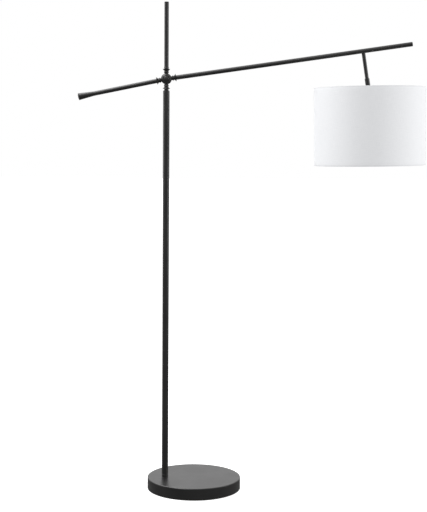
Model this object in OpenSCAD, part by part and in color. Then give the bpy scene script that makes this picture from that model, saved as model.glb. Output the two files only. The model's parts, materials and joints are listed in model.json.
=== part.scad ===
// Balance-arm floor lamp: weighted round base, screwed post, four-way swivel,
// long boom with a hanging stem, and a white drum shade that tilts on a knuckle.
// X runs towards the shade, Y to the back, Z up; the origin is under the base's centre.

/* [Base] */
// Diameter of the round base
base_d = 320; // [280:1:360]
// Height of the base, felt included
base_h = 41; // [34:1:60]
// Sheet thickness of the base's cover
base_wall = 1.5; // [1:0.1:2.5]
// Rounding of the cover's top edge
base_round = 2.5; // [1:0.5:6]
// Post's place along X, measured from the base's centre
post_x = -100; // [-115:1:-60]

/* [Post and mast] */
// Diameter of the post's tubes
post_d = 22; // [20:0.5:30]
// Length of each of the post's three sections
section_l = 440; // [300:1:500]
// Height of the thin mast above the swivel's axis
mast_l = 255; // [120:1:400]

/* [Boom] */
// Diameter of the boom, the tail and the mast
tube_d = 15; // [13:0.5:16]
// Rise of the boom above level, in degrees
boom_rise = 8.45; // [0:0.05:15]
// Fall of the tail below level, in degrees
tail_drop = 11.8; // [0:0.1:20]
// Length of the boom from the swivel's axis
boom_l = 833; // [760:1:900]
// Length of the tail from the swivel's axis
tail_l = 302; // [200:1:400]
// Length of the flared tail weight
flare_l = 53; // [30:1:80]
// Diameter of the tail weight's end
flare_d = 24; // [18:0.5:30]

/* [Stem] */
// Distance of the stem from the swivel's axis, along the boom
stem_at = 666; // [600:1:740]
// Diameter of the stem
stem_d = 12.4; // [10:0.1:13]
// Distance from the boom's axis to the knuckle's axis
stem_drop = 158; // [150:1:200]
// Slant of the stem away from square to the boom, in degrees
stem_slant = 0.6; // [0:0.1:2]
// Diameter of the collar above the knuckle
collar_d = 16; // [16:0.5:18]

/* [Shade] */
// Outer diameter of the drum shade
shade_d = 374; // [300:1:380]
// Height of the drum shade
shade_h = 260; // [230:1:300]
// Height of the shade's top rim above the knuckle's axis
shade_above = 35; // [25:1:40]
// Lean of the shade, its foot away from the post, in degrees
shade_lean = 1; // [0:0.1:3]
// Wire diameter of the shade's frame
ring_wire = 4; // [3:0.5:5]

/* [Hidden] */
$fn = 96;

// Colours
satin_black = "#2b2b2b";
bare_steel = "#9a9a9a";
zinc = "#b9bcc0";
felt_black = "#1c1c1c";
rubber_black = "#202020";
cement = "#8f8c86";
linen_white = "#f4f4f2";
film_white = "#fafafa";
lead_grey = "#3a3a3a";
brass_tone = "#c39a4a";
phenolic = "#191919";
porcelain = "#f2efe8";

// Fits
touch = 0.05;        // radial room of a screwed or pushed fit inside one body
run = 0.05;          // radial room of a shaft that turns
gap = 0.3;           // room between faces that move past each other
over = 1;            // how far a cutting solid runs past a face

// Base
felt_h = 3;
plate_t = 2;
lip_z = 1.5;
base_r = base_d / 2;
plate_top = felt_h + plate_t;
roof_z = base_h - base_wall;
nut_room_h = 20;
nut_room_r = 16;
nut_h = 8;
washer_t = 2;
nut_z = plate_top + nut_room_h - washer_t - nut_h;
channel_w = 10;
channel_h = 14;
cord_z = 13;
cord_bore = 7.2;
grommet_r = 6.5;
nipple_r = 5;
nipple_bore = 3;

// Post and mast
ring_h = 8;
post_r = post_d / 2;
post_wall = 1.2;
post_top = base_h + 3 * section_l;
foot_z = base_h + ring_h;
seams = [base_h + section_l, base_h + 2 * section_l];
coupler_l = 40;
plug_l = 20;
edge = 0.5;

// Swivel: distances run outwards from its axis
joint_rise = 40;
joint_z = post_top + joint_rise;
disc_r = 18;
disc_t = 12;
washer_half = 0.4;
front_face = washer_half + gap;
sweep_r = disc_r + 0.4;
cavity_in = 7.5;
cavity_out = 14;
cavity_t = 7;
lead_turn = [24, 0];
lead_tip = [12, 4.9];
seat_y = disc_t - 0.8;
collar_end = 24.6;
neck_r = 6.6;
neck_collar_r = 8.5;
stud_r = 4;
stud_end = 44;
cup_lip = 33;
cup_r = 12.4;
tube_start = 29;
cap_round = 1.2;
bolt_r = 4;
head_r = 7.5;
head_t = 3.5;

// Tubes of the boom
tube_r = tube_d / 2;
tube_wall = 1.2;
bore_r = tube_r - tube_wall;
boom_seam = 429;
end_t = 2;
lead_r = 1.75;
lead_bore = 2.5;

// Stem, knuckle and head: heights are measured from the knuckle's axis
stem_r = stem_d / 2;
collar_r = collar_d / 2;
collar_top = 66;
collar_foot = 22;
stem_foot = 44;
stem_tip_r = 3;
nut_half_l = 9;
knuckle_r = 8;
tongue_half = 3;
cheek_in = tongue_half + gap;
shoulder = 9.5;
fork_floor = -9.5;
fork_foot = -16;
pin_r = 2.5;
head_x = post_x + stem_at * cos(boom_rise) + stem_drop * sin(boom_rise + stem_slant);
head_z = joint_z + stem_at * sin(boom_rise) - stem_drop * cos(boom_rise + stem_slant);

// Shade
shade_r = shade_d / 2;
fabric_t = 0.65;
liner_t = 0.7;
shade_foot = shade_above - shade_h;
wire_r = ring_wire / 2;
wire_ring_r = shade_r - fabric_t - liner_t - wire_r - 0.15;
hub_r = 15;
hub_t = 2.4;
hub_top = fork_foot;
hub_foot = hub_top - hub_t;
arm_turns = [90, 210, 330];

// Lampholder and bulb
nut_foot = hub_foot - 3;
cap_top = nut_foot - 1;
holder_r = 17.5;
cap_foot = cap_top - 16;
shell_foot = cap_foot - 40;
core_foot = cap_foot - 18;
thread_r = 14.2;
knob_z = cap_foot - 10;
bulb_top = core_foot - 4;
bulb_cap_l = 25;
bulb_l = 108;
bulb_r = 30;
bulb_cap_r = 13;

// ---------------------------------------------------------------- shared shapes

// Puts the children on the swivel's axis, with +X pointing outwards at an angle above level
module spoke(angle) {
    translate([post_x, 0, joint_z]) rotate([0, -angle, 0]) children();
}

module on_boom() { spoke(boom_rise) children(); }
module on_tail() { spoke(180 + tail_drop) children(); }
module on_mast() { spoke(90) children(); }
module on_post() { spoke(270) children(); }

// In the boom's own frame: puts the children at the stem's root, with Z along the stem
module at_stem() { translate([stem_at, 0, 0]) rotate([0, -stem_slant, 0]) children(); }

// Puts the children on the knuckle's axis, with Z along the stem
module on_stem() { on_boom() at_stem() translate([0, 0, -stem_drop]) children(); }

// Puts the children on the knuckle's axis, with Z along the shade's axis
module on_head() { translate([head_x, 0, head_z]) rotate([0, -shade_lean, 0]) children(); }

module at_post() { translate([post_x, 0, 0]) children(); }

module rod(r, from, to) {
    translate([0, 0, from]) cylinder(r = r, h = to - from);
}

module rod_x(r, from, to) {
    rotate([0, 90, 0]) rod(r, from, to);
}

module rod_y(r, from, to) {
    rotate([-90, 0, 0]) rod(r, from, to);
}

// Turned part about X, from points of [distance along X, radius]
module turned_x(points) {
    rotate([0, 90, 0]) rotate_extrude() polygon([for (p = points) [p[1], p[0]]]);
}

// Turned part about Y, from points of [radius, distance along Y]
module turned_y(points) {
    rotate([-90, 0, 0]) rotate_extrude() polygon(points);
}

// Straight stretch of lead between two points
module lead_run(a, b) {
    d = b - a;
    l = norm(d);
    translate(a) rotate([0, acos(d[2] / l), atan2(d[1], d[0])]) cylinder(r = lead_r, h = l);
}

// Lead along a few points, with a ball at each corner
module lead_path(points) {
    last = len(points) - 1;
    for (i = [0 : last - 1]) lead_run(points[i], points[i + 1]);
    for (i = [1 : last - 1]) translate(points[i]) sphere(r = lead_r + 0.08, $fn = 32);
}

// Tube about Z with small chamfers at both ends
module post_section(from, to) {
    rotate_extrude() polygon([
        [post_r - post_wall, from], [post_r - edge, from], [post_r, from + edge],
        [post_r, to - edge], [post_r - edge, to], [post_r - post_wall, to]
    ]);
}

// Tube about X with small chamfers at both ends; a plugged end takes the swivel's stud
module arm_section(from, to, plugged) {
    turned_x([
        [from, bore_r], [from, tube_r - edge], [from + edge, tube_r],
        [to - edge, tube_r], [to, tube_r - edge], [to, bore_r]
    ]);
    if (plugged) difference() {
        rod_x(bore_r + 0.2, from, from + plug_l);
        rod_x(stud_r + touch, from - over, from + plug_l + over);
    }
}

// Flared ferrule that hides the end of a tube
module cup() {
    turned_x([
        [collar_end + 0.02, stud_r + touch], [collar_end + 0.02, 7], [25.4, 6.8], [26.4, 7],
        [27.6, 7.8], [28.8, 9], [30, 10.1], [31.4, cup_r - 0.9], [32, cup_r - 0.2],
        [32.4, cup_r], [cup_lip - 0.2, cup_r], [cup_lip, cup_r - 0.4], [cup_lip, cup_r - 1.1],
        [31.4, 9.4], [30.2, tube_r + touch], [tube_start - 0.1, tube_r + touch],
        [tube_start - 0.1, stud_r + touch]
    ]);
}

// Half of the four-way swivel, on the +Y side of its middle plane, with two necks
module swivel_half(face, neck_angles, lead_angle) {
    difference() {
        union() {
            turned_y([
                [0, face], [disc_r, face], [disc_r, 7.4], [disc_r - 0.7, 8.3], [15.8, 8.6],
                [12.7, 11.6], [11.7, disc_t], [10.5, disc_t], [9.8, seat_y], [0, seat_y]
            ]);
            for (a = neck_angles) rotate([0, -a, 0]) {
                turned_x([
                    [14.5, 0], [14.5, neck_r], [18.6, neck_r], [21.8, neck_collar_r - 0.2],
                    [22.4, neck_collar_r], [24, neck_collar_r], [collar_end, neck_collar_r - 0.6],
                    [collar_end, stud_r], [stud_end, stud_r], [stud_end, 0]
                ]);
            }
        }
        // Room for the other half's disc
        rod_y(sweep_r, -disc_t - over, face);
        // Chamber that the lead turns in
        turned_y([
            [cavity_in, face - over], [cavity_out, face - over],
            [cavity_out, face + cavity_t], [cavity_in, face + cavity_t]
        ]);
        rod_y(bolt_r + run, -over, disc_t + over);
        rod_y(head_r + gap, disc_t - head_t - gap, disc_t + over);
        // Slanted way from the chamber into the neck, then straight out
        if (lead_angle != undef) rotate([0, -lead_angle, 0]) {
            slant = atan2(lead_tip[1], lead_tip[0] - lead_turn[0]);
            translate([lead_turn[0], 0, 0]) rotate([0, 0, slant]) rod_x(lead_bore, 0, 14);
            translate([lead_turn[0], 0, 0]) sphere(r = lead_bore + 0.05, $fn = 32);
            rod_x(lead_bore, lead_turn[0], stud_end + over);
        }
    }
}

// ---------------------------------------------------------------- base

module felt_pad() {
    color(felt_black) rod(base_r - 4, 0, felt_h);
}

module base_plate() {
    color(bare_steel) rod(base_r - base_wall - 0.1, felt_h, plate_top);
}

// Channel for the lead, from the post's foot to the grommet at the back
channel_far = [0, base_r - 30];
module lead_channel(r, from, to) {
    run_l = norm(channel_far - [post_x, 0]);
    translate([post_x, 0, from]) rotate([0, 0, atan2(channel_far[1], channel_far[0] - post_x)])
        translate([0, -r, 0]) cube([run_l + r, 2 * r, to - from]);
    translate([channel_far[0] - r, channel_far[1] - r, from]) cube([2 * r, 60, to - from]);
}

module base_weight() {
    color(cement) difference() {
        rod(base_r - base_wall - 0.1, plate_top, roof_z);
        at_post() rod(nipple_r + 1, plate_top - over, base_h);
        at_post() rod(nut_room_r, plate_top - over, plate_top + nut_room_h);
        lead_channel(channel_w / 2, plate_top - over, plate_top + channel_h);
        translate([0, 0, cord_z]) rod_y(grommet_r + 1, base_r - 12, base_r);
    }
}

module base_shell() {
    arc = [for (t = [0 : 15 : 90]) [
        base_r - base_round + base_round * cos(t), base_h - base_round + base_round * sin(t)
    ]];
    color(satin_black) difference() {
        rotate_extrude($fn = 180) polygon(concat(
            [[base_r - base_wall, lip_z], [base_r - 0.4, lip_z], [base_r, lip_z + 0.4]], arc,
            [[0, base_h], [0, roof_z], [base_r - base_wall, roof_z]]
        ));
        at_post() rod(nipple_r + 0.6, roof_z - over, base_h + over);
        translate([0, 0, cord_z]) rod_y(grommet_r - 1, base_r - 10, base_r + over);
    }
}

// Rubber grommet in the cover's back wall, with its groove on the sheet's edge
module cord_grommet() {
    color(rubber_black) translate([0, 0, cord_z]) difference() {
        union() {
            rod_y(grommet_r - 1 - touch, base_r - 8, base_r + 1.5);
            rod_y(grommet_r, base_r - 8, base_r - 2);
            turned_y([
                [0, base_r + 0.15], [grommet_r + 1, base_r + 0.15], [grommet_r + 1, base_r + 1.2],
                [grommet_r, base_r + 2.5], [0, base_r + 2.5]
            ]);
        }
        rod_y(cord_bore / 2, base_r - 8 - over, base_r + 2.5 + over);
    }
}

module base_nut() {
    color(zinc) at_post() difference() {
        translate([0, 0, nut_z]) cylinder(r = 10, h = nut_h, $fn = 6);
        rod(nipple_r + touch, nut_z - over, nut_z + nut_h + over);
    }
}

module base_washer() {
    color(zinc) at_post() difference() {
        rod(14, nut_z + nut_h, nut_z + nut_h + washer_t);
        rod(nipple_r + touch, nut_z, nut_z + nut_h + washer_t + over);
    }
}

// Threaded pipe that clamps the post through the cover and the weight
module base_nipple() {
    color(zinc) at_post() difference() {
        rod(nipple_r, nut_z - 1, foot_z + plug_l - 2);
        rod(nipple_bore, nut_z - 2, foot_z + plug_l);
    }
}

// ---------------------------------------------------------------- post and mast

module foot_ring() {
    color(satin_black) at_post() rotate_extrude() polygon([
        [nipple_r + touch, base_h], [post_r, base_h], [post_r, foot_z - edge],
        [post_r - edge, foot_z], [nipple_r + touch, foot_z]
    ]);
}

module post_lower() {
    color(satin_black) at_post() {
        post_section(foot_z, seams[0]);
        difference() {
            rod(post_r - post_wall + 0.2, foot_z, foot_z + plug_l);
            rod(nipple_r + touch, foot_z - over, foot_z + plug_l + over);
        }
    }
}

module post_middle() { color(satin_black) at_post() post_section(seams[0], seams[1]); }
module post_upper() { color(satin_black) at_post() post_section(seams[1], post_top); }

// Threaded sleeve inside a seam of the post
module post_coupler(seam) {
    color(zinc) at_post() difference() {
        rod(post_r - post_wall - touch, seam - coupler_l / 2, seam + coupler_l / 2);
        rod(6, seam - coupler_l, seam + coupler_l);
    }
}

module coupler_lower() { post_coupler(seams[0]); }
module coupler_upper() { post_coupler(seams[1]); }

// Rounded shoulder of the post, with a spigot up into the cup
module post_cap() {
    inner_r = post_r - post_wall - touch;
    base_x = joint_rise - 0.02;
    arc = [for (t = [0 : 15 : 90]) [
        base_x - cap_round * sin(t), post_r - cap_round + cap_round * cos(t)
    ]];
    color(satin_black) on_post() difference() {
        turned_x(concat(
            [[stud_end + 12, 0], [stud_end + 12, inner_r], [base_x, inner_r]],
            arc,
            [[base_x - cap_round, tube_r + 0.4], [base_x - cap_round - 0.5, tube_r],
             [tube_start, tube_r], [tube_start, 0]]
        ));
        rod_x(stud_r + touch, tube_start - over, stud_end + 13);
    }
}

module lower_cup() { color(satin_black) on_post() cup(); }
module mast_cup() { color(satin_black) on_mast() cup(); }

module swivel_rear() {
    color(satin_black) spoke(0) swivel_half(washer_half, [90, 270], 270);
}

// Thin locking ring above the mast's cup
module mast_ring() {
    color(satin_black) on_mast() turned_x([
        [35.5, tube_r + touch], [35.5, 8.1], [36, 8.6], [37.6, 8.6], [38.1, 8.1],
        [38.1, tube_r + touch]
    ]);
}

module mast_tube() { color(satin_black) on_mast() arm_section(tube_start, mast_l - end_t, true); }

// Flat plug that closes a tube of the boom or the mast
module tube_plug(end) {
    color(satin_black) {
        turned_x([
            [end - end_t, 0], [end - end_t, tube_r], [end - edge, tube_r], [end, tube_r - edge],
            [end, 0]
        ]);
        rod_x(bore_r - touch, end - 14, end - end_t);
    }
}

module mast_plug() { on_mast() tube_plug(mast_l); }

// ---------------------------------------------------------------- swivel's bolt

module pivot_bolt() {
    color(zinc) spoke(0) {
        rod_y(bolt_r, -disc_t + head_t, disc_t + 6);
        rod_y(head_r, -disc_t + gap, -disc_t + head_t);
    }
}

module friction_washer() {
    color("#6b5a48") spoke(0) difference() {
        rod_y(disc_r - 0.2, -washer_half, washer_half);
        rod_y(cavity_out, -1, 1);
    }
}

// Cone-shaped spring washer under the lock nut
module spring_washer() {
    seat = disc_t - head_t - gap;
    color(bare_steel) spoke(0) turned_y([
        [bolt_r + touch, seat + 1.2], [head_r, seat], [head_r, seat + 1], [bolt_r + touch, seat + 2.2]
    ]);
}

// Domed lock nut at the back of the swivel
module lock_nut() {
    start = disc_t - head_t - gap + 2.2;
    color(satin_black) spoke(0) difference() {
        union() {
            rotate([-90, 0, 0]) translate([0, 0, start]) cylinder(r = head_r - 0.2, h = 5.2, $fn = 6);
            turned_y([
                [0, start + 5], [6, start + 5], [5.6, start + 7.5], [4.2, start + 9.6],
                [2.2, start + 10.8], [0, start + 11.2]
            ]);
        }
        rod_y(bolt_r + touch, start - over, disc_t + 6.1);
    }
}

// ---------------------------------------------------------------- boom and tail

module swivel_front() {
    color(satin_black) spoke(0) mirror([0, 1, 0])
        swivel_half(front_face, [boom_rise, 180 + tail_drop], boom_rise);
}

// Domed cover over the bolt's head
module swivel_cap() {
    color(satin_black) spoke(0) mirror([0, 1, 0]) turned_y([
        [0, disc_t], [head_r + 0.4, disc_t], [head_r + 0.4, seat_y + 0.02], [9.1, seat_y + 0.02],
        [9.1, 12.4], [8.7, 13.2], [7.6, 14.1], [6, 14.8], [4, 15.3], [2, 15.5], [0, 15.6]
    ]);
}

module tail_cup() { color(satin_black) on_tail() cup(); }
module boom_cup() { color(satin_black) on_boom() cup(); }

module tail_tube() { color(satin_black) on_tail() arm_section(tube_start, tail_l - flare_l, true); }

// Solid flared weight on the tail's end
module tail_weight() {
    start = tail_l - flare_l + 0.02;
    color(satin_black) on_tail() turned_x([
        [start - plug_l, 0], [start - plug_l, bore_r - touch], [start, bore_r - touch],
        [start, tube_r - edge], [start + edge, tube_r], [tail_l - 4, flare_d / 2 - 0.5],
        [tail_l - 2.6, flare_d / 2], [tail_l - 1.8, flare_d / 2 - 0.3],
        [tail_l - 0.6, flare_d / 3], [tail_l, 0]
    ]);
}

module boom_inner() { color(satin_black) on_boom() arm_section(tube_start, boom_seam, true); }

module boom_coupler() {
    color(zinc) on_boom() difference() {
        rod_x(bore_r - touch, boom_seam - coupler_l / 2, boom_seam + coupler_l / 2);
        rod_x(3, boom_seam - coupler_l, boom_seam + coupler_l);
    }
}

module boom_outer() {
    color(satin_black) on_boom() difference() {
        arm_section(boom_seam, boom_l - end_t, false);
        at_stem() rod(stem_tip_r + touch, -tube_r - over, 0);
    }
}

module boom_plug() { on_boom() tube_plug(boom_l); }

// Threaded block inside the boom that the stem screws into
module stem_nut() {
    color(zinc) on_boom() difference() {
        rod_x(bore_r - touch, stem_at - nut_half_l, stem_at + nut_half_l);
        at_stem() rod(stem_tip_r + touch, -tube_r, tube_r);
        rod_x(lead_bore, stem_at - nut_half_l - over, stem_at);
    }
}

module stem_tube() {
    top = stem_drop - tube_r + 0.6;
    color(satin_black) difference() {
        on_stem() union() {
            rod(stem_r, stem_foot, top + 2);
            rod(stem_tip_r, top, stem_drop - 2.4);
        }
        // Saddle that fits the boom's underside
        difference() {
            on_boom() rod_x(tube_r + 0.02, stem_at - 20, stem_at + 20);
            on_stem() rod(stem_tip_r, top - over, stem_drop);
        }
        on_stem() rod(stem_tip_r - 0.9, stem_foot - over, stem_drop);
    }
}

module stem_collar() {
    color(satin_black) on_stem() rotate_extrude() polygon([
        [stem_r + touch, collar_foot + 0.02], [collar_r, collar_foot + 0.02],
        [collar_r, collar_top - 0.6], [collar_r - 0.6, collar_top], [stem_r + touch, collar_top]
    ]);
}

// Tongue of the knuckle, screwed into the collar
module knuckle_upper() {
    color(satin_black) on_stem() difference() {
        union() {
            rod(collar_r, shoulder, collar_foot);
            rod(stem_r, collar_foot - over, stem_foot - 1);
            rod_y(knuckle_r, -tongue_half, tongue_half);
            translate([-knuckle_r + 1, -tongue_half, 0])
                cube([2 * knuckle_r - 2, 2 * tongue_half, shoulder + over]);
        }
        rod_y(pin_r + run, -tongue_half - over, tongue_half + over);
        rod(lead_bore, collar_foot - 4, stem_foot);
    }
}

// ---------------------------------------------------------------- knuckle and shade

module knuckle_lower() {
    color(satin_black) on_head() difference() {
        union() {
            for (side = [0, 1]) mirror([0, side, 0]) {
                rod_y(knuckle_r, cheek_in, knuckle_r);
                translate([-knuckle_r, cheek_in, fork_floor - over])
                    cube([2 * knuckle_r, knuckle_r - cheek_in, -fork_floor + over]);
            }
            rod(11.3, fork_foot + 0.02, fork_floor);
        }
        rod_y(pin_r + touch, -knuckle_r - over, knuckle_r + over);
        rod(nipple_r + touch, fork_foot - over, fork_foot + 4.5);
        rod(lead_bore, fork_foot, 0);
    }
}

module knuckle_screw() {
    color(satin_black) on_head() {
        rod_y(pin_r, -knuckle_r - 1, 13);
        turned_y([
            [0, -12], [3.6, -12], [4.6, -11], [5, -9.8], [5, -knuckle_r - 0.02], [0, -knuckle_r - 0.02]
        ]);
    }
}

// Knurled thumb nut that sets how firmly the shade stays put
module knuckle_nut() {
    flutes = 14;
    color(satin_black) on_head() difference() {
        turned_y([
            [pin_r + touch, knuckle_r + 0.02], [6, knuckle_r + 0.02], [7, knuckle_r + 1],
            [7, knuckle_r + 4.5], [6, knuckle_r + 5.5], [pin_r + touch, knuckle_r + 5.5]
        ]);
        for (i = [0 : flutes - 1]) rotate([0, i * 360 / flutes, 0])
            translate([7.3, 0, 0]) rod_y(0.7, knuckle_r, knuckle_r + 7);
    }
}

module head_nipple() {
    color(zinc) on_head() difference() {
        rod(nipple_r, cap_top - 10, fork_foot + 4);
        rod(nipple_bore, cap_top - 10 - over, fork_foot + 5);
    }
}

module wire_ring(z) {
    translate([0, 0, z]) rotate_extrude($fn = 144) translate([wire_ring_r, 0]) circle(r = wire_r, $fn = 24);
}

// Welded frame: the top ring, three arms that drop inwards, and the hub
module spider_frame() {
    ring_z = shade_above - wire_r - 0.6;
    arm_foot = hub_top - wire_r - 0.2;
    rise = atan2(ring_z - arm_foot, wire_ring_r - hub_r);
    arm_l = norm([ring_z - arm_foot, wire_ring_r - hub_r]);
    color("#e8e8e6") on_head() {
        wire_ring(ring_z);
        difference() {
            rod(hub_r, hub_foot, hub_top);
            rod(nipple_r + touch, hub_foot - over, hub_top + over);
        }
        for (a = arm_turns) rotate([0, 0, a]) translate([hub_r - 0.4, 0, arm_foot + 1])
            rotate([0, -rise, 0]) rod_x(wire_r - 0.3, 0, arm_l - 0.4);
    }
}

module spider_nut() {
    color(zinc) on_head() difference() {
        translate([0, 0, nut_foot]) cylinder(r = 10, h = hub_foot - nut_foot, $fn = 6);
        rod(nipple_r + touch, nut_foot - over, hub_foot + over);
    }
}

module bottom_ring() { color("#e8e8e6") on_head() wire_ring(shade_foot + wire_r + 0.6); }

// Open drum about Z
module drum(r, t) {
    rotate_extrude($fn = 180) translate([r - t, shade_foot]) square([t, shade_h]);
}

module shade_liner() { color(film_white) on_head() drum(shade_r - fabric_t - 0.05, liner_t); }
module shade_fabric() { color(linen_white) on_head() drum(shade_r, fabric_t); }

// ---------------------------------------------------------------- lampholder and bulb

module socket_cap() {
    color(phenolic) on_head() rotate_extrude() polygon([
        [nipple_r + touch, cap_top], [8, cap_top], [10, cap_top - 1.5], [14, cap_top - 5],
        [16.6, cap_top - 9], [holder_r, cap_foot + 2], [holder_r, cap_foot + 0.02],
        [15, cap_foot + 0.02], [13, cap_top - 9], [nipple_r + touch, cap_top - 7]
    ]);
}

module socket_shell() {
    color(phenolic) on_head() difference() {
        rotate_extrude() polygon([
            [holder_r - 1.6, cap_foot], [holder_r, cap_foot], [holder_r, shell_foot + 3],
            [holder_r - 0.6, shell_foot + 2.4], [holder_r - 0.6, shell_foot + 1],
            [holder_r, shell_foot + 0.4], [holder_r, shell_foot], [holder_r - 1.6, shell_foot]
        ]);
        translate([0, 0, knob_z]) rod_y(2 + run, -holder_r - over, 0);
    }
}

module socket_core() {
    color(porcelain) on_head() difference() {
        rod(holder_r - 1.6 - touch, core_foot, cap_foot - 0.5);
        translate([0, 0, knob_z]) rod_y(2 + run, -holder_r, -6);
        rod(lead_bore, cap_foot - 8, cap_foot);
    }
}

module screw_shell() {
    color(brass_tone) on_head() difference() {
        rod(thread_r, shell_foot + 1, core_foot - 0.02);
        rod(bulb_cap_r + 0.2, shell_foot, core_foot);
    }
}

module centre_contact() {
    color(brass_tone) on_head() rod(3.5, core_foot - 1.5, core_foot - 0.02);
}

module bulb_cap() {
    pitch = 3.6;
    turns = 4;
    wave = [for (i = [0 : turns - 1]) for (p = [[0.2, 12.4], [0.5, 13]]) [
        p[1], bulb_top - 6 - (i + p[0]) * pitch
    ]];
    color(zinc) on_head() {
        rotate_extrude() polygon(concat(
            [[0, bulb_top - 2], [5, bulb_top - 2], [11.4, bulb_top - 5], [12.4, bulb_top - 6]],
            wave,
            [[bulb_cap_r, bulb_top - bulb_cap_l], [0, bulb_top - bulb_cap_l]]
        ));
        rod(3.5, bulb_top - 2 - over, bulb_top);
    }
}

module bulb_glass() {
    neck_z = bulb_top - bulb_cap_l - 0.02;
    ball_z = bulb_top - bulb_l + bulb_r;
    skin = 1;
    outer = concat(
        [[bulb_cap_r, neck_z], [13.6, neck_z - 6], [17, neck_z - 18]],
        [for (t = [28 : -8 : -90]) [bulb_r * cos(t), ball_z + bulb_r * sin(t)]]
    );
    inner = concat(
        [[bulb_cap_r - skin, neck_z], [12.6, neck_z - 6], [16, neck_z - 18]],
        [for (t = [28 : -8 : -90]) [(bulb_r - skin) * cos(t), ball_z + (bulb_r - skin) * sin(t)]]
    );
    tip = [[0, ball_z - bulb_r], [0, ball_z - bulb_r + skin]];
    backwards = [for (i = [len(inner) - 1 : -1 : 0]) inner[i]];
    color(film_white) on_head() rotate_extrude() polygon(concat(outer, tip, backwards));
}

module switch_knob() {
    flutes = 12;
    color(phenolic) on_head() translate([0, 0, knob_z]) {
        rod_y(2, -30, -7);
        difference() {
            turned_y([
                [0, -36], [4.2, -36], [5.4, -35], [6, -33], [6, -24], [5, -22.6], [3.2, -22], [0, -22]
            ]);
            for (i = [0 : flutes - 1]) rotate([0, i * 360 / flutes, 0])
                translate([6.3, 0, 0]) rod_y(0.7, -40, -24.5);
        }
    }
}

// ---------------------------------------------------------------- leads inside the lamp

// Base to swivel: in from the grommet, along the channel and up the post
module post_lead() {
    run_z = 9.5;
    color(lead_grey) lead_path([
        [0, base_r - 12, cord_z], [channel_far[0], channel_far[1], run_z],
        [post_x + 6, 7.8, run_z], [post_x, 0, run_z + 3.5], [post_x, 0, joint_z - lead_turn[0]],
        [post_x, lead_tip[1], joint_z - lead_tip[0]]
    ]);
}

// Swivel to knuckle: out along the boom and down the stem
module boom_lead() {
    color(lead_grey) on_boom() {
        lead_path([[lead_tip[0], -lead_tip[1], 0], [lead_turn[0], 0, 0], [stem_at, 0, 0]]);
        translate([stem_at, 0, 0]) sphere(r = lead_r + 0.3, $fn = 32);
        at_stem() rod(lead_r, collar_foot + 2 - stem_drop, -0.4);
    }
}

// Knuckle to lampholder
module head_lead() {
    color(lead_grey) on_head() lead_path([[0, 0, fork_foot + 3], [0, 0, cap_foot - 5]]);
}

felt_pad();
base_plate();
base_weight();
base_shell();
cord_grommet();
base_nut();
base_washer();
base_nipple();
foot_ring();
post_lower();
coupler_lower();
post_middle();
coupler_upper();
post_upper();
post_cap();
lower_cup();
swivel_rear();
mast_cup();
mast_ring();
mast_tube();
mast_plug();
pivot_bolt();
friction_washer();
spring_washer();
lock_nut();
post_lead();
swivel_front();
swivel_cap();
tail_cup();
tail_tube();
tail_weight();
boom_cup();
boom_inner();
boom_coupler();
boom_outer();
boom_plug();
stem_nut();
stem_tube();
stem_collar();
knuckle_upper();
boom_lead();
knuckle_lower();
knuckle_screw();
knuckle_nut();
head_nipple();
spider_frame();
spider_nut();
bottom_ring();
shade_liner();
shade_fabric();
socket_cap();
socket_shell();
socket_core();
screw_shell();
centre_contact();
head_lead();
bulb_cap();
bulb_glass();
switch_knob();
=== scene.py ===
"""Balance-arm floor lamp with a white drum shade: looks, pieces, light and camera."""
import json
import math

import bmesh
import bpy
from mathutils import Matrix, Vector


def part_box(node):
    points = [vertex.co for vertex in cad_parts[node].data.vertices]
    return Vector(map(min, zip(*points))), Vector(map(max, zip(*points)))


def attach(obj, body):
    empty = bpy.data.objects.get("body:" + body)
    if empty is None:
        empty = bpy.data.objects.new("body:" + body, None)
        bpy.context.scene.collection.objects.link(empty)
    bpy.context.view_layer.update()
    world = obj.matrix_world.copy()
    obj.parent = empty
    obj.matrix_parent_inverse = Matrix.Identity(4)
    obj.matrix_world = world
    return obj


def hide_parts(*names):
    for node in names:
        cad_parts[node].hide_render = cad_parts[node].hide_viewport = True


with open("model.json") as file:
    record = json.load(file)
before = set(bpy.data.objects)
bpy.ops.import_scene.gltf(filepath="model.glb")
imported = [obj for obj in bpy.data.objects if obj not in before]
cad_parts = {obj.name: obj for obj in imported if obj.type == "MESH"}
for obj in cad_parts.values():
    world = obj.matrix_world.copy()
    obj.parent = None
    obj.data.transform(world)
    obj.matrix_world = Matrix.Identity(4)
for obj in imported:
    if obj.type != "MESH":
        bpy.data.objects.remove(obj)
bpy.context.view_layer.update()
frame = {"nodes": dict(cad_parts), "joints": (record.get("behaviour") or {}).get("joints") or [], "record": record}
NODES = frame["nodes"]
JOINTS = {joint["name"]: joint for joint in frame["joints"]}
MM = 0.001

# ------------------------------------------------------------------ camera

LENS_MM = 87.9
CAMERA_PLACE = (0.002, -4.229, 1.2185)
LOOK_DOWN = math.radians(5.574)
TURN_RIGHT = math.radians(0.817)
ROLL = math.radians(0.427)


def make_camera():
    """Camera at standing height in front of the lamp, looking slightly down."""
    data = bpy.data.cameras.new("studio_camera")
    data.lens = LENS_MM
    data.clip_end = 100
    camera = bpy.data.objects.new("studio_camera", data)
    camera.matrix_world = (
        Matrix.Translation(CAMERA_PLACE)
        @ Matrix.Rotation(-TURN_RIGHT, 4, "Z")
        @ Matrix.Rotation(math.pi / 2 - LOOK_DOWN, 4, "X")
        @ Matrix.Rotation(ROLL, 4, "Z")
    )
    bpy.context.scene.collection.objects.link(camera)
    bpy.context.scene.camera = camera


# ------------------------------------------------------------------ places

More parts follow.
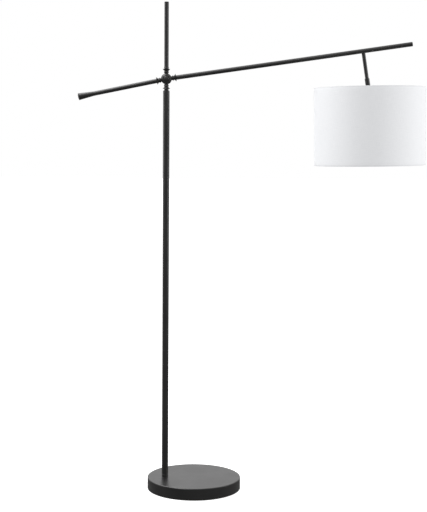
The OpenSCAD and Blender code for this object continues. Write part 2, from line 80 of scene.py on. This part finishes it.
KNUCKLE = Vector(JOINTS["shade_tilt"]["pos_m"])
CLOTH_T = 0.45 * MM
LINER_T = 0.7 * MM
WIRE_R = 2 * MM
HEM = 11 * MM
LAP = 12 * MM
SLACK = 0.1 * MM
THREAD_PITCH = 0.7 * MM
SLUB_STRETCH = 22
FULL_TURN = 2 * math.pi
DRUM_STEPS = 192
LAP_STEPS = 6
WALL_ROWS = 20


def middle(node):
    """Centre of a CAD node's box."""
    low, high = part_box(node)
    return (low + high) / 2


def depth(node):
    """Size of a CAD node along Y, which is a turned part's diameter."""
    low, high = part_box(node)
    return high.y - low.y


# The shade leans a little, so its axis comes from the knuckle to the drum's centre.
DRUM_CENTRE = middle("shade_liner")
SHADE_AXIS = (KNUCKLE - DRUM_CENTRE).normalized()
DRUM_R = depth("shade_fabric") / 2
LINER_R = depth("shade_liner") / 2
RING_R = depth("bottom_ring") / 2
RING_DROP = (middle("bottom_ring") - DRUM_CENTRE).length
LEAN = math.asin(SHADE_AXIS.x)
DRUM_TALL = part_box("shade_liner")[1].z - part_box("shade_liner")[0].z
DRUM_H = (DRUM_TALL - 2 * LINER_R * abs(math.sin(LEAN))) / math.cos(LEAN)
SHADE_FRAME = Matrix.Translation(DRUM_CENTRE) @ Matrix.Rotation(LEAN, 4, "Y")


def rim_path(up):
    """Cloth from the inside hem, round the wire, to the outer wall: (radius, height) at one rim."""
    edge = up * DRUM_H / 2
    wire_z = up * RING_DROP
    wire_r = RING_R - WIRE_R
    inner = LINER_R - LINER_T - CLOTH_T / 2 - SLACK
    reach = WIRE_R + CLOTH_T / 2 + SLACK
    outer = DRUM_R - CLOTH_T / 2
    fold = edge + up * CLOTH_T * 0.6
    # Down the film's inside, round the wire's inner half, then over the film's edge.
    path = [(inner, edge - up * HEM), (inner, wire_z - up * 3.4 * MM),
            (wire_r + 0.9 * MM, wire_z - up * 2.9 * MM)]
    for degrees in (100, 138, 176, 215, 253):
        turn = math.radians(degrees)
        path.append((wire_r + reach * math.cos(turn), wire_z - up * reach * math.sin(turn)))
    return path + [(LINER_R - 0.6 * MM, fold), (outer - 0.5 * MM, fold),
                   (outer - 0.12 * MM, edge + up * CLOTH_T * 0.3), (outer, edge - up * 0.5 * MM)]


def cloth_path():
    """The whole section of the cloth, from the foot's hem to the head's."""
    foot, head = rim_path(-1), rim_path(1)
    low, high = foot[-1][1], head[-1][1]
    wall = [(foot[-1][0], low + (high - low) * i / WALL_ROWS) for i in range(1, WALL_ROWS)]
    return foot + wall + head[::-1]


def path_lengths(path, start=0.0):
    """Distance along a path at each of its points."""
    lengths = [start]
    for a, b in zip(path, path[1:]):
        lengths.append(lengths[-1] + math.dist(a, b))
    return lengths


CLOTH_PATH = cloth_path()
CLOTH_LENGTH = path_lengths(CLOTH_PATH)[-1]
WRAP = (CLOTH_LENGTH - DRUM_H) / 2


# ------------------------------------------------------------------ materials

def new_material(name):
    """A material with its Principled shader, ready for nodes."""
    material = bpy.data.materials.new(name)
    material.use_nodes = True
    tree = material.node_tree
    shader = tree.nodes["Principled BSDF"]
    return material, tree, shader


def object_place(tree):
    """The piece's own coordinates, in metres."""
    return tree.nodes.new("ShaderNodeTexCoord").outputs["Object"]


def stretched(tree, vector, scale):
    """A vector scaled on each axis by a Mapping node."""
    mapping = tree.nodes.new("ShaderNodeMapping")
    mapping.inputs["Scale"].default_value = scale
    tree.links.new(vector, mapping.inputs["Vector"])
    return mapping.outputs["Vector"]


def noise(tree, vector, scale, detail=2.0, rough=0.5):
    """Smooth random grain, about one lump in each 1 / scale metres."""
    node = tree.nodes.new("ShaderNodeTexNoise")
    node.inputs["Scale"].default_value = scale
    node.inputs["Detail"].default_value = detail
    node.inputs["Roughness"].default_value = rough
    tree.links.new(vector, node.inputs["Vector"])
    return node.outputs["Fac"]


def ramp(tree, value, low, high, low_at=0.0, high_at=1.0):
    """Colour or grey between two ends, following a value."""
    node = tree.nodes.new("ShaderNodeValToRGB")
    ends = node.color_ramp.elements
    ends[0].position, ends[1].position = low_at, high_at
    ends[0].color = (*low, 1) if hasattr(low, "__len__") else (low, low, low, 1)
    ends[1].color = (*high, 1) if hasattr(high, "__len__") else (high, high, high, 1)
    tree.links.new(value, node.inputs["Fac"])
    return node.outputs["Color"]


def bump(tree, height, strength, distance):
    """Normal raised by a height, for grain too fine to model."""
    node = tree.nodes.new("ShaderNodeBump")
    node.inputs["Strength"].default_value = strength
    node.inputs["Distance"].default_value = distance
    tree.links.new(height, node.inputs["Height"])
    return node.outputs["Normal"]


def math_node(tree, operation, a, b=None):
    """One sum on numbers or node outputs."""
    node = tree.nodes.new("ShaderNodeMath")
    node.operation = operation
    for socket, value in zip(node.inputs, (a, b)):
        if value is None:
            continue
        if isinstance(value, (int, float)):
            socket.default_value = value
        else:
            tree.links.new(value, socket)
    return node.outputs["Value"]


def satin_black_paint():
    """Satin powder coat: faint orange peel, slightly uneven gloss."""
    material, tree, shader = new_material("satin_black_paint")
    vector = object_place(tree)
    blotch = noise(tree, vector, 14, 3)
    fine = noise(tree, vector, 900, 2)
    peel = noise(tree, vector, 420, 1)
    colour = ramp(tree, blotch, (0.0095, 0.0092, 0.0092), (0.0135, 0.0132, 0.013), 0.3, 0.7)
    tree.links.new(colour, shader.inputs["Base Color"])
    wear = math_node(tree, "ADD", math_node(tree, "MULTIPLY", blotch, 0.6),
                     math_node(tree, "MULTIPLY", fine, 0.4))
    tree.links.new(ramp(tree, wear, 0.27, 0.37, 0.3, 0.7), shader.inputs["Roughness"])
    tree.links.new(bump(tree, peel, 0.12, 0.0002), shader.inputs["Normal"])
    shader.inputs["IOR"].default_value = 1.5
    return material


def plated_steel(name, colour, rough):
    """Bare or plated metal with a fine grain."""
    material, tree, shader = new_material(name)
    vector = object_place(tree)
    grain = noise(tree, vector, 350, 4)
    cloud = noise(tree, vector, 60, 2)
    tint = ramp(tree, cloud, [c * 0.85 for c in colour], colour, 0.3, 0.7)
    tree.links.new(tint, shader.inputs["Base Color"])
    tree.links.new(ramp(tree, grain, rough * 0.8, min(rough * 1.25, 1), 0.3, 0.7),
                   shader.inputs["Roughness"])
    tree.links.new(bump(tree, grain, 0.08, 0.0002), shader.inputs["Normal"])
    shader.inputs["Metallic"].default_value = 1
    return material


def dull_solid(name, low, high, rough, scale, depth, strength=0.3):
    """Rough, unpolished material such as felt, cement, rubber or fibre board."""
    material, tree, shader = new_material(name)
    vector = object_place(tree)
    grain = noise(tree, vector, scale, 6, 0.65)
    tree.links.new(ramp(tree, grain, low, high, 0.3, 0.7), shader.inputs["Base Color"])
    tree.links.new(ramp(tree, grain, rough, min(rough + 0.1, 1)), shader.inputs["Roughness"])
    tree.links.new(bump(tree, grain, strength, depth), shader.inputs["Normal"])
    return material


def frosted_glass():
    """White frosted bulb glass that lets a little light through."""
    material, tree, shader = new_material("frosted_glass")
    vector = object_place(tree)
    grain = noise(tree, vector, 800, 3)
    tree.links.new(ramp(tree, grain, (0.86, 0.86, 0.85), (0.93, 0.93, 0.92), 0.3, 0.7),
                   shader.inputs["Base Color"])
    tree.links.new(ramp(tree, grain, 0.3, 0.42), shader.inputs["Roughness"])
    tree.links.new(bump(tree, grain, 0.05, 0.0001), shader.inputs["Normal"])
    shader.inputs["Transmission Weight"].default_value = 0.35
    return material


def drum_cloth():
    """White plain-weave shade cloth on film: threads follow the piece's own UV map."""
    material, tree, shader = new_material("drum_cloth")
    uv = tree.nodes.new("ShaderNodeUVMap")
    uv.uv_map = "weave"
    parts = tree.nodes.new("ShaderNodeSeparateXYZ")
    tree.links.new(uv.outputs["UV"], parts.inputs["Vector"])
    threads = []
    for axis in "XY":
        phase = math_node(tree, "MULTIPLY", parts.outputs[axis], FULL_TURN / THREAD_PITCH)
        threads.append(math_node(tree, "SINE", phase))
    weave = math_node(tree, "MULTIPLY", *threads)
    slubs = []
    for scale in ((1, SLUB_STRETCH, 1), (SLUB_STRETCH, 1, 1)):
        grain = noise(tree, stretched(tree, uv.outputs["UV"], scale), 40, 3, 0.6)
        slubs.append(math_node(tree, "MULTIPLY", grain, 0.5))
    slubs = math_node(tree, "ADD", *slubs)
    thread = ramp(tree, slubs, (0.84, 0.85, 0.87), (0.90, 0.908, 0.925), 0.35, 0.65)
    # Painted shade: the cloth's colour is darkened in a faint line at each rim, standing in for the shading of the
    # fold over the wire.
    above_middle = math_node(tree, "SUBTRACT", parts.outputs["Y"], CLOTH_LENGTH / 2)
    from_middle = math_node(tree, "ABSOLUTE", above_middle)
    shadow = ramp(tree, from_middle, 1.0, 0.9, DRUM_H / 2 - 3 * MM, DRUM_H / 2 - 0.5 * MM)
    tint = tree.nodes.new("ShaderNodeMix")
    tint.data_type = "RGBA"
    tint.blend_type = "MULTIPLY"
    tint.inputs["Factor"].default_value = 1
    tree.links.new(thread, tint.inputs["A"])
    tree.links.new(shadow, tint.inputs["B"])
    tree.links.new(tint.outputs["Result"], shader.inputs["Base Color"])
    height = math_node(tree, "ADD", math_node(tree, "MULTIPLY", weave, 0.5),
                       math_node(tree, "MULTIPLY", slubs, 1.2))
    tree.links.new(bump(tree, height, 0.25, 0.00012), shader.inputs["Normal"])
    shader.inputs["Roughness"].default_value = 0.85
    shader.inputs["Sheen Weight"].default_value = 0.15
    shader.inputs["Sheen Roughness"].default_value = 0.5
    return material


def shade_film():
    """White styrene film behind the cloth."""
    material, tree, shader = new_material("shade_film")
    vector = object_place(tree)
    cloud = noise(tree, vector, 30, 3)
    tree.links.new(ramp(tree, cloud, (0.88, 0.88, 0.88), (0.93, 0.93, 0.93), 0.3, 0.7),
                   shader.inputs["Base Color"])
    tree.links.new(ramp(tree, cloud, 0.42, 0.55), shader.inputs["Roughness"])
    return material


def make_materials():
    """One material for each slot in the record."""
    return {
        "black_satin": satin_black_paint(),
        "zinc_plate": plated_steel("zinc_plate", (0.62, 0.63, 0.65), 0.32),
        "bare_steel": plated_steel("rolled_steel", (0.42, 0.42, 0.43), 0.4),
        "felt": dull_solid("black_felt", (0.006, 0.006, 0.006), (0.02, 0.02, 0.02),
                           0.95, 900, 0.0006, 0.6),
        "cement": dull_solid("cast_cement", (0.28, 0.27, 0.25), (0.42, 0.41, 0.38), 0.85, 90, 0.001),
        "rubber": dull_solid("grommet_rubber", (0.012, 0.012, 0.012), (0.02, 0.02, 0.02),
                             0.6, 300, 0.0002),
        "fibre": dull_solid("fibre_board", (0.13, 0.08, 0.05), (0.2, 0.14, 0.09), 0.8, 400, 0.0002),
        "lead": dull_solid("lead_sheath", (0.03, 0.03, 0.03), (0.045, 0.045, 0.045),
                           0.5, 200, 0.0001),
        "frame_white": dull_solid("white_enamel", (0.8, 0.8, 0.79), (0.86, 0.86, 0.85),
                                  0.3, 250, 0.0001, 0.1),
        "liner_film": shade_film(),
        "shade_cloth": drum_cloth(),
        "phenolic": dull_solid("phenolic", (0.012, 0.012, 0.012), (0.02, 0.02, 0.02),
                               0.35, 300, 0.0001, 0.1),
        "porcelain": dull_solid("porcelain", (0.8, 0.78, 0.74), (0.86, 0.84, 0.8),
                                0.15, 40, 0.0001, 0.05),
        "brass": plated_steel("turned_brass", (0.78, 0.58, 0.28), 0.3),
        "bulb_frost": frosted_glass(),
    }


MATERIALS = make_materials()


def paint_cad_nodes():
    """Each carried-over node takes the material of its slot in the record."""
    for part in frame["record"]["subparts"]:
        mesh = NODES[part["node"]].data
        mesh.materials.clear()
        mesh.materials.append(MATERIALS[part["material_slot"]])


# ------------------------------------------------------------------ new pieces


def finish_piece(name, form, body, slot):
    """Turns a bmesh into an object that rides on a body, with its slot's material."""
    mesh = bpy.data.meshes.new(name)
    form.to_mesh(mesh)
    form.free()
    mesh.polygons.foreach_set("use_smooth", [True] * len(mesh.polygons))
    mesh.materials.append(MATERIALS[slot])
    piece = bpy.data.objects.new(name, mesh)
    bpy.context.scene.collection.objects.link(piece)
    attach(piece, body)
    return piece


def swept_cloth(path, start, sweep, steps, along_start=0.0):
    """Open sheet swept about the drum's axis, with a UV map in metres: round, and along the path."""
    form = bmesh.new()
    along = form.verts.layers.float.new("along")
    points = []
    for (radius, height), length in zip(path, path_lengths(path, along_start)):
        vert = form.verts.new((radius * math.cos(start), radius * math.sin(start), height))
        vert[along] = length
        points.append(vert)
    edges = [form.edges.new(pair) for pair in zip(points, points[1:])]
    bmesh.ops.spin(form, geom=points + edges, cent=(0, 0, 0), axis=(0, 0, 1),
                   angle=sweep, steps=steps, use_merge=sweep == FULL_TURN)
    bmesh.ops.remove_doubles(form, verts=form.verts, dist=1e-6)
    bmesh.ops.recalc_face_normals(form, faces=form.faces)
    widest = max(form.faces, key=lambda face: face.calc_center_median().xy.length)
    if widest.normal.xy.dot(widest.calc_center_median().xy) < 0:
        bmesh.ops.reverse_faces(form, faces=form.faces)
    uv = form.loops.layers.uv.new("weave")
    for face in form.faces:
        angles = [math.atan2(loop.vert.co.y, loop.vert.co.x) for loop in face.loops]
        wraps = max(angles) - min(angles) > math.pi
        for loop, angle in zip(face.loops, angles):
            turn = angle + FULL_TURN if wraps and angle < 0 else angle
            loop[uv].uv = (turn * DRUM_R, loop.vert[along])
    bmesh.ops.transform(form, matrix=SHADE_FRAME, verts=form.verts)
    return form


def thicken(piece, thickness):
    """Gives an open sheet its wall, half to each side."""
    wall = piece.modifiers.new("thickness", "SOLIDIFY")
    wall.thickness = thickness
    wall.offset = 0


def make_shade_cloth():
    """Cloth bonded to the film: one taut sheet, its edges turned in over the rims' wires."""
    form = swept_cloth(CLOTH_PATH, 0, FULL_TURN, DRUM_STEPS)
    cloth = finish_piece("shade_cloth", form, "head", "shade_cloth")
    thicken(cloth, CLOTH_T)
    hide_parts("shade_fabric")
    return cloth


def make_lap_seam():
    """Overlap of the cloth's two ends, a narrow strip up the back of the drum."""
    radius = DRUM_R + CLOTH_T * 0.4
    half = LAP / 2 / radius
    tall = DRUM_H - 2 * MM
    path = [(radius, -tall / 2 + tall * i / WALL_ROWS) for i in range(WALL_ROWS + 1)]
    form = swept_cloth(path, math.pi / 2 - half, 2 * half, LAP_STEPS, WRAP + MM)
    seam = finish_piece("shade_lap_seam", form, "head", "shade_cloth")
    thicken(seam, CLOTH_T * 0.8)
    return seam


def make_shade():
    """The drum's cloth and its seam."""
    cloth = make_shade_cloth()
    seam = make_lap_seam()


# ------------------------------------------------------------------ studio

FLOOR_HALF = 30
FLOOR_GLOW = 0.7
MATTE_ROOM = (0.56, 0.80)
GLOSS_WALLS = (0.66, 1.05)
GLOSS_FLOOR = 0.2
GLOSS_CEILING = (5.5, 1.4)
# name, place, aim, size (all in metres), brightness
SOFTBOXES = (
    ("left_softbox", (-3.4, 0.55, 1.7), (0.4, 0, 1.3), (2.4, 2.4), 2.3),
    ("right_softbox", (4.2, -0.7, 1.7), (0.5, 0, 1.3), (2.4, 2.4), 3.4),
    ("top_softbox", (-1.25, 0.1, 3.2), (-0.3, 0, 1.3), (1.3, 1.8), 2.6),
    ("key_softbox", (-1.5, -1.3, 2.9), (-0.2, 0, 1.4), (0.9, 0.9), 3.0),
)


def make_floor():
    """Plain pale floor that shows a faint contact shadow and throws no light back up."""
    form = bmesh.new()
    bmesh.ops.create_grid(form, x_segments=1, y_segments=1, size=FLOOR_HALF)
    mesh = bpy.data.meshes.new("studio_floor")
    form.to_mesh(mesh)
    form.free()
    material, tree, shader = new_material("pale_floor")
    cloud = noise(tree, object_place(tree), 2, 3)
    tree.links.new(ramp(tree, cloud, (0.93, 0.93, 0.93), (0.95, 0.95, 0.95)),
                   shader.inputs["Base Color"])
    shader.inputs["Roughness"].default_value = 0.9
    shader.inputs["Specular IOR Level"].default_value = 0.0
    shader.inputs["Emission Color"].default_value = (1, 1, 1, 1)
    shader.inputs["Emission Strength"].default_value = FLOOR_GLOW
    mesh.materials.append(material)
    floor = bpy.data.objects.new("studio_floor", mesh)
    floor.visible_glossy = False
    floor.visible_diffuse = False
    bpy.context.scene.collection.objects.link(floor)


def softbox(name, place, target, size, radiance):
    """Rectangular light of a given brightness, unseen by the camera."""
    data = bpy.data.lights.new(name, "AREA")
    data.shape = "RECTANGLE"
    data.size, data.size_y = size
    data.energy = radiance * math.pi * size[0] * size[1]
    lamp = bpy.data.objects.new(name, data)
    lamp.location = place
    aim = Vector(target) - Vector(place)
    lamp.rotation_euler = aim.to_track_quat("-Z", "Y").to_euler()
    lamp.visible_camera = False
    bpy.context.scene.collection.objects.link(lamp)


def eased(tree, value, start, stop, low, high):
    """Smooth step between two levels; a level is a number or another output."""
    node = tree.nodes.new("ShaderNodeMapRange")
    node.interpolation_type = "SMOOTHSTEP"
    tree.links.new(value, node.inputs["Value"])
    for name, level in (("From Min", start), ("From Max", stop), ("To Min", low), ("To Max", high)):
        if isinstance(level, (int, float)):
            node.inputs[name].default_value = level
        else:
            tree.links.new(level, node.inputs[name])
    return node.outputs["Result"]


def light_studio():
    """White backdrop for the camera, a soft room for matte faces and a darker one for gloss."""
    world = bpy.data.worlds.new("studio")
    bpy.context.scene.world = world
    world.use_nodes = True
    tree = world.node_tree
    backdrop = tree.nodes["Background"]
    backdrop.inputs["Color"].default_value = (1, 1, 1, 1)
    way = tree.nodes.new("ShaderNodeTexCoord")
    parts = tree.nodes.new("ShaderNodeSeparateXYZ")
    tree.links.new(way.outputs["Generated"], parts.inputs["Vector"])
    across, depth, rise = (parts.outputs[axis] for axis in "XYZ")
    matte = eased(tree, rise, -0.3, 0.3, *MATTE_ROOM)
    walls = eased(tree, depth, -0.2, 0.6, *GLOSS_WALLS)
    ceiling = eased(tree, across, -0.32, -0.02, *GLOSS_CEILING)
    above = eased(tree, rise, 0.5, 0.85, walls, ceiling)
    gloss = eased(tree, rise, -0.10, 0.06, GLOSS_FLOOR, above)
    rays = tree.nodes.new("ShaderNodeLightPath")
    strength = matte
    for kind, level in (("Is Glossy Ray", gloss), ("Is Camera Ray", 1.0)):
        strength = eased(tree, rays.outputs[kind], 0, 1, strength, level)
    tree.links.new(strength, backdrop.inputs["Strength"])
    for name, place, target, size, radiance in SOFTBOXES:
        softbox(name, place, target, size, radiance)
    bpy.context.scene.view_settings.view_transform = "Standard"


make_camera()
paint_cad_nodes()
make_shade()
make_floor()
light_studio()
